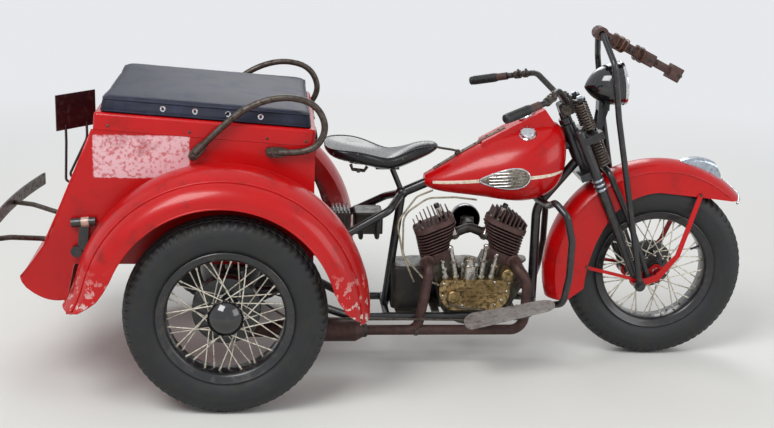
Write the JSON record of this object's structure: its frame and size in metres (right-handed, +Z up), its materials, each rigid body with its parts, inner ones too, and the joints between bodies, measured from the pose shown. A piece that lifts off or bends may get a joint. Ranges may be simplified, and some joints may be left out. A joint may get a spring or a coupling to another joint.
{
  "type": "three-wheeled service motorcycle",
  "caption": "Three-wheeled motorcycle with a springer fork, V-twin engine, lidded cargo box between two fendered rear wheels, and a folded front tow bar.",
  "frame": {"origin": "on the ground under the middle of the overall box", "axes": "+X forward, +Y to the rider's left, +Z up"},
  "size_m": [2.7018, 1.244, 1.2149],
  "materials": {
    "tyre_rubber": "worn black rubber",
    "wheel_black": "black enamel, dusty",
    "cap_black": "glossy black enamel",
    "frame_black": "black enamel, worn",
    "red_paint": "faded red enamel",
    "chrome_bright": "polished",
    "aged_plating": "plating gone brown and grey",
    "rusty_iron": "rusty, maroon brown",
    "case_alloy": "dull cast",
    "cover_bronze": "oily golden brown",
    "exhaust_rust": "rusty heat-stained steel",
    "tappet_silver": "bright machined",
    "grip_rubber": "black, ribbed",
    "sleeve_paint": "brown grey",
    "saddle_leather": "black, creased",
    "cushion_vinyl": "dark blue-black coated cloth",
    "lamp_glass": "clear fluted",
    "battery_grey": "grey",
    "cable_black": "black cable covering",
    "board_grey": "grey worn mat"
  },
  "bodies": {
    "chassis": {"rear_axle_housing": "frame_black", "frame": "frame_black", "frame_rails": "frame_black", "crankcase": "case_alloy", "cylinder_rear": "rusty_iron", "cylinder_front": "rusty_iron", "timing_case": "cover_bronze", "tappet_covers": "tappet_silver", "generator": "aged_plating", "exhaust": "exhaust_rust", "gearbox": "case_alloy", "primary_cover": "frame_black", "battery_box": "battery_grey", "regulator": "battery_grey", "carburettor": "case_alloy", "fuel_tank_left": "red_paint", "fuel_tank_right": "red_paint", "dash": "red_paint", "seat_post": "frame_black", "saddle": "saddle_leather", "footboards": "board_grey", "crash_bar": "frame_black", "cargo_box": "red_paint", "lid_hinge_fixed": "frame_black", "rear_fender_left": "red_paint", "rear_fender_right": "red_paint", "grab_rails": "aged_plating", "rear_bumper": "aged_plating", "side_bracket": "frame_black", "plate_bracket": "frame_black", "brake_rod": "aged_plating", "engine_cables": "cable_black"},
    "lid": {"box_lid": "red_paint", "lid_cushion": "cushion_vinyl", "lid_hinge_moving": "frame_black"},
    "fork": {"rigid_fork": "frame_black", "spring_fork": "frame_black", "fork_springs": "frame_black", "rockers": "red_paint", "front_axle": "chrome_bright", "front_brake_plate": "frame_black", "handlebar": "aged_plating", "grips": "grip_rubber", "grip_sleeves": "sleeve_paint", "headlamp_shell": "cap_black", "headlamp_lens": "lamp_glass", "headlamp_bracket": "frame_black", "front_fender": "red_paint", "front_fender_stays": "red_paint", "fender_lamp": "chrome_bright"},
    "front_wheel": {"front_tyre": "tyre_rubber", "front_wire_wheel": "wheel_black"},
    "rear_wheel_right": {"rear_tyre_right": "tyre_rubber", "rear_wire_wheel_right": "wheel_black", "hub_cap_right": "cap_black"},
    "rear_wheel_left": {"rear_tyre_left": "tyre_rubber", "rear_wire_wheel_left": "wheel_black", "hub_cap_left": "cap_black"},
    "tow_bar": {"tow_bar_legs": "frame_black", "tow_bar_head": "frame_black"}
  },
  "joints": [
    {"name": "steering", "type": "hinge", "parent": "chassis", "child": "fork", "pos_m": [0.92599, 0, 0.2877], "axis": [-0.4067, 0, 0.9135], "range_deg": [-25, 25]},
    {"name": "front_wheel_spin", "type": "hinge", "parent": "fork", "child": "front_wheel", "pos_m": [1.021, 0, 0.33], "axis": [0, 1, 0], "continuous": true},
    {"name": "rear_wheel_right_spin", "type": "hinge", "parent": "chassis", "child": "rear_wheel_right", "pos_m": [-0.529, -0.533, 0.33], "axis": [0, 1, 0], "continuous": true},
    {"name": "rear_wheel_left_spin", "type": "hinge", "parent": "chassis", "child": "rear_wheel_left", "pos_m": [-0.529, 0.533, 0.33], "axis": [0, 1, 0], "continuous": true},
    {"name": "lid_hinge", "type": "hinge", "parent": "chassis", "child": "lid", "pos_m": [-0.2355, 0, 0.847], "axis": [0, 1, 0], "range_deg": [0, 80]},
    {"name": "tow_bar_fold", "type": "hinge", "parent": "fork", "child": "tow_bar", "pos_m": [0.94426, 0, 0.29583], "axis": [0, 1, 0], "range_deg": [0, 97]}
  ]
}
